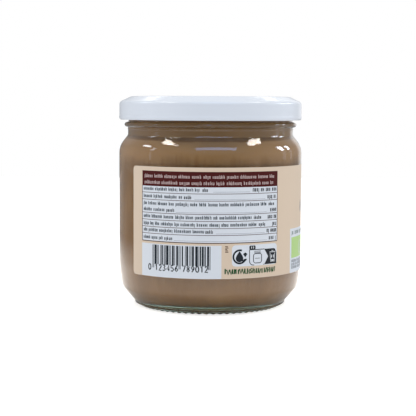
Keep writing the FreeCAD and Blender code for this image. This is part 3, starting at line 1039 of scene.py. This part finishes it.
studio = {
    "floorHalf": 1.0,
    "floorColour": (0.80, 0.80, 0.80, 1), "floorLift": 0.60, "floorMirrored": 0.95,
    # the last pair bounds a painted shadow round the foot, in metres from the jar's axis
    "floorThroughGlass": 0.85, "floorGlow": 0.35, "floorFade": (0.09, 0.34), "paintedFootShadow": (0.034, 0.064),
    # brightness of the room as fill light, and in reflections ahead, to the sides and above
    "fill": 0.93, "mirrorAhead": 0.15, "mirrorSides": 0.62, "mirrorAbove": 0.45, "aboveFrom": 0.35,
    "sidesPower": 1.5,
    # a bright wall behind on the right: where it begins and is full, across and away
    "mirrorBackRight": 0.75, "wallAcross": (0.10, 0.25), "wallAway": (0.78, 0.90),
    # direction round from the front and up from level in degrees, angle across and high, radiance, colour
    "lampDistance": 1.35, "aimHeight": 0.075,
    "lamps": [
        ("lampTopLeft", -81, 54.5, 14, 8, 16.0, (1.0, 0.96, 0.88)),
        ("lampTopRight", 87, 54, 14.5, 8, 16.0, (1.0, 0.96, 0.88)),
        ("windowTopLeft", -67, 52, 14, 3, 14.0, (1.0, 0.96, 0.88)),
        ("windowTopRight", 75, 51, 9, 4, 14.0, (1.0, 0.96, 0.88)),
        ("windowRightNear", 104, 22, 8, 14, 17.0, (0.80, 0.88, 1.0)),
        ("windowRightFar", 119, 19, 6, 12, 15.0, (0.80, 0.88, 1.0)),
        ("windowLeftNear", -98, 33, 14, 6, 13.0, (0.86, 0.92, 1.0)),
        ("windowLeftFar", -80, 25, 4, 9, 5.5, (0.80, 0.88, 1.0)),
        ("windowRightLow", 104, 5, 7, 15, 0.7, (0.80, 0.88, 1.0)),
        ("windowRightLowFar", 120, 5, 4, 15, 0.7, (0.80, 0.88, 1.0)),
        ("windowLeftLow", -79, 5, 4, 15, 0.9, (0.80, 0.88, 1.0)),
        ("windowFront", 8, 40, 46, 16, 4.6, (0.34, 0.56, 1.0)),
        ("lampBackLeft", -165, 34, 6, 6, 4.0, (1.0, 0.98, 0.94)),
        ("lampBackRight", 165, 34, 6, 6, 4.0, (1.0, 0.98, 0.94)),
    ],
    "lens": 104.95, "cameraPlace": (-0.00096, -0.5751, 0.0941), "cameraTilt": 4.83, "cameraRoll": -0.27,
}


def stepBetween(nodes, links, value, limits):
    step = nodes.new("ShaderNodeMapRange")
    step.interpolation_type = "SMOOTHSTEP"
    step.inputs["From Min"].default_value, step.inputs["From Max"].default_value = limits
    links.new(value, step.inputs["Value"])
    return step.outputs["Result"]


def makeFloor():
    half = studio["floorHalf"]
    mesh = bpy.data.meshes.new("tableTop")
    corners = [(-half, -half, 0), (half, -half, 0), (half, half, 0), (-half, half, 0)]
    mesh.from_pydata(corners, [], [(0, 1, 2, 3)])
    tableTop = bpy.data.objects.new("tableTop", mesh)
    bpy.context.scene.collection.objects.link(tableTop)
    material, nodes, links, shader = newMaterial("tablePaper", {
        "Base Color": studio["floorColour"], "Roughness": 0.9, "Specular IOR Level": 0.1,
        "Emission Color": (1, 1, 1, 1)})
    rays = nodes.new("ShaderNodeLightPath").outputs
    direct = mathNode(nodes, links, "LESS_THAN", rays["Diffuse Depth"], 0.5)
    gain = studio["floorThroughGlass"] - studio["floorGlow"]
    through = mathNode(nodes, links, "MULTIPLY_ADD", direct, gain, studio["floorGlow"])
    away = nodes.new("ShaderNodeVectorMath")
    away.operation = "LENGTH"
    links.new(nodes.new("ShaderNodeTexCoord").outputs["Object"], away.inputs[0])
    # a painted shadow: seen through the glass or mirrored, the table is dark under the jar and round its
    # foot, where its glow is taken away
    shade = stepBetween(nodes, links, away.outputs["Value"], studio["paintedFootShadow"])
    lift = mathNode(nodes, links, "MULTIPLY", rays["Is Transmission Ray"], through)
    lift = mathNode(nodes, links, "MULTIPLY_ADD", rays["Is Glossy Ray"], studio["floorMirrored"], lift)
    lift = mathNode(nodes, links, "MULTIPLY", lift, shade)
    lift = mathNode(nodes, links, "MULTIPLY_ADD", rays["Is Camera Ray"], studio["floorLift"], lift)
    links.new(lift, shader.inputs["Emission Strength"])
    # in reflections the pale table fades into the dim room
    fade = stepBetween(nodes, links, away.outputs["Value"], studio["floorFade"])
    room = nodes.new("ShaderNodeEmission")
    room.inputs["Strength"].default_value = studio["mirrorAhead"] + studio["mirrorSides"] / 2
    mix = nodes.new("ShaderNodeMixShader")
    links.new(mathNode(nodes, links, "MULTIPLY", fade, rays["Is Glossy Ray"]), mix.inputs["Fac"])
    links.new(shader.outputs["BSDF"], mix.inputs[1])
    links.new(room.outputs["Emission"], mix.inputs[2])
    links.new(mix.outputs["Shader"], nodes["Material Output"].inputs["Surface"])
    mesh.materials.append(material)


def makeWorld():
    world = bpy.data.worlds.new("studioWorld")
    bpy.context.scene.world = world
    world.use_nodes = True
    nodes, links = world.node_tree.nodes, world.node_tree.links
    rays = nodes.new("ShaderNodeLightPath").outputs
    seen = mathNode(nodes, links, "MAXIMUM", rays["Is Camera Ray"], rays["Is Transmission Ray"])
    lit = mathNode(nodes, links, "MULTIPLY_ADD", seen, 1 - studio["fill"], studio["fill"])
    # a dim room ahead, pale screens to the sides and a pale ceiling, for what the glass reflects
    direction = nodes.new("ShaderNodeSeparateXYZ")
    links.new(nodes.new("ShaderNodeTexCoord").outputs["Generated"], direction.inputs["Vector"])
    aside = mathNode(nodes, links, "ABSOLUTE", direction.outputs["X"])
    sides = mathNode(nodes, links, "POWER", aside, studio["sidesPower"])
    sides = mathNode(nodes, links, "MULTIPLY", sides, studio["mirrorSides"])
    rise = nodes.new("ShaderNodeMapRange")
    rise.inputs["From Max"].default_value = studio["aboveFrom"]
    rise.inputs["To Max"].default_value = studio["mirrorAbove"]
    links.new(direction.outputs["Z"], rise.inputs["Value"])
    room = mathNode(nodes, links, "MAXIMUM", sides, rise.outputs["Result"])
    room = mathNode(nodes, links, "ADD", room, studio["mirrorAhead"])
    # the glass mirrors the bright wall along its right edge
    behind = stepBetween(nodes, links, direction.outputs["Y"], studio["wallAway"])
    right = stepBetween(nodes, links, direction.outputs["X"], studio["wallAcross"])
    behind = mathNode(nodes, links, "MULTIPLY", behind, right)
    room = mathNode(nodes, links, "MULTIPLY_ADD", behind, studio["mirrorBackRight"], room)
    strength = nodes.new("ShaderNodeMix")
    links.new(rays["Is Glossy Ray"], strength.inputs["Factor"])
    links.new(lit, strength.inputs["A"])
    links.new(room, strength.inputs["B"])
    nodes["Background"].inputs["Color"].default_value = (1, 1, 1, 1)
    links.new(strength.outputs["Result"], nodes["Background"].inputs["Strength"])


def makeLamps():
    aim = Vector((0, 0, studio["aimHeight"]))
    away = studio["lampDistance"]
    for name, across, up, wide, high, radiance, colour in studio["lamps"]:
        turn, lift = math.radians(across), math.radians(up)
        towards = Vector((math.sin(turn) * math.cos(lift), -math.cos(turn) * math.cos(lift), math.sin(lift)))
        light = bpy.data.lights.new(name, "AREA")
        light.shape = "RECTANGLE"
        light.size = 2 * away * math.tan(math.radians(wide / 2))
        light.size_y = 2 * away * math.tan(math.radians(high / 2))
        light.energy = radiance * math.pi * light.size * light.size_y
        light.color = colour
        lamp = bpy.data.objects.new(name, light)
        lamp.location = aim + towards * away
        lamp.rotation_euler = (-towards).to_track_quat("-Z", "Y").to_euler()
        # the windows are there for what the glass and the lacquer mirror
        lamp.visible_diffuse = not name.startswith("window")
        bpy.context.scene.collection.objects.link(lamp)


def makeCamera():
    tilt, roll = math.radians(studio["cameraTilt"]), math.radians(studio["cameraRoll"])
    side = Vector((1, 0, 0))
    ahead = Vector((0, math.cos(tilt), -math.sin(tilt)))
    up = Vector((0, math.sin(tilt), math.cos(tilt)))
    right = math.cos(roll) * side - math.sin(roll) * up
    upright = math.sin(roll) * side + math.cos(roll) * up
    data = bpy.data.cameras.new("camera")
    data.lens = studio["lens"]
    data.sensor_width = 36.0
    data.clip_start = 0.01
    camera = bpy.data.objects.new("camera", data)
    turn = Matrix((right, upright, -ahead)).transposed().to_4x4()
    camera.matrix_world = Matrix.Translation(studio["cameraPlace"]) @ turn
    bpy.context.scene.collection.objects.link(camera)
    bpy.context.scene.camera = camera


makeFloor()
makeWorld()
makeLamps()
makeCamera()
bpy.context.scene.view_settings.view_transform = "Standard"
# light runs to and fro many times in the thick glass of the floor
cycles = bpy.context.scene.cycles
cycles.max_bounces = 24
cycles.glossy_bounces = 16
cycles.transmission_bounces = 20
print("studio ready")
